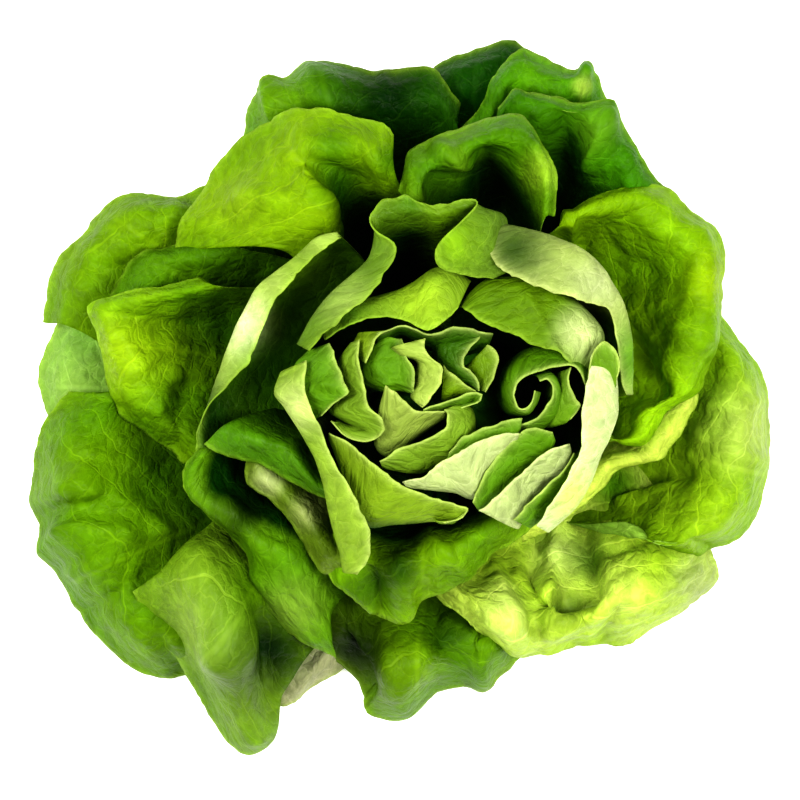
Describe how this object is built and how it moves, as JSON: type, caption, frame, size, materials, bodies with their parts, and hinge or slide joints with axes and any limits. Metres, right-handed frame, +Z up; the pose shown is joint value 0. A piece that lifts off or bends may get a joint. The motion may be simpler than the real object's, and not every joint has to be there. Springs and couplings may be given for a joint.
{
  "type": "butterhead lettuce head",
  "caption": "Whole butterhead lettuce head, opened a little: broad cupped leaves with waved edges round a folded heart, standing on its cut stem.",
  "frame": {"origin": "middle of the stem's cut face, on the surface the head stands on", "axes": "+Z up along the stem, +X towards the head's widest reach on the right as seen from above with +Y at the top"},
  "size_m": [0.2603, 0.2505, 0.1023],
  "materials": {
    "stem": "moist cut stem, pale green-white",
    "outer_leaf": "fresh green leaf with a soft waxy sheen, veined and puckered",
    "middle_leaf": "fresh bright green leaf with a soft waxy sheen, veined and puckered",
    "inner_leaf": "tender yellow-green leaf, pale on its outer face",
    "heart_leaf": "tender yellow-green heart leaf, pale along its folds"
  },
  "bodies": {
    "root": {"stem": "stem", "heart": "heart_leaf", "leaf_outer_left_pale": "outer_leaf", "leaf_outer_bottom_rear": "outer_leaf", "leaf_outer_top": "outer_leaf", "leaf_outer_left_upper": "outer_leaf", "leaf_outer_left_low": "outer_leaf", "leaf_outer_bottom": "outer_leaf", "leaf_outer_top_left": "outer_leaf", "leaf_outer_top_right": "outer_leaf", "leaf_outer_right": "outer_leaf", "leaf_outer_right_low": "outer_leaf", "leaf_outer_left_tongue": "outer_leaf", "leaf_middle_left_under": "middle_leaf", "leaf_middle_right_upper_rear": "middle_leaf", "leaf_middle_left": "middle_leaf", "leaf_middle_right_low_band": "middle_leaf", "leaf_middle_upper_left": "middle_leaf", "leaf_middle_right_upper": "middle_leaf", "leaf_middle_left_low_wave": "middle_leaf", "leaf_middle_top": "middle_leaf", "leaf_middle_bottom": "middle_leaf", "leaf_inner_left_olive": "inner_leaf", "leaf_inner_left": "inner_leaf", "leaf_inner_left_flap": "inner_leaf", "leaf_inner_right_ribbon": "inner_leaf", "leaf_inner_left_ribbon": "inner_leaf", "leaf_inner_right_cap": "inner_leaf", "leaf_inner_top": "inner_leaf", "leaf_inner_right_fold": "inner_leaf", "leaf_inner_top_fold": "inner_leaf"}
  },
  "joints": []
}
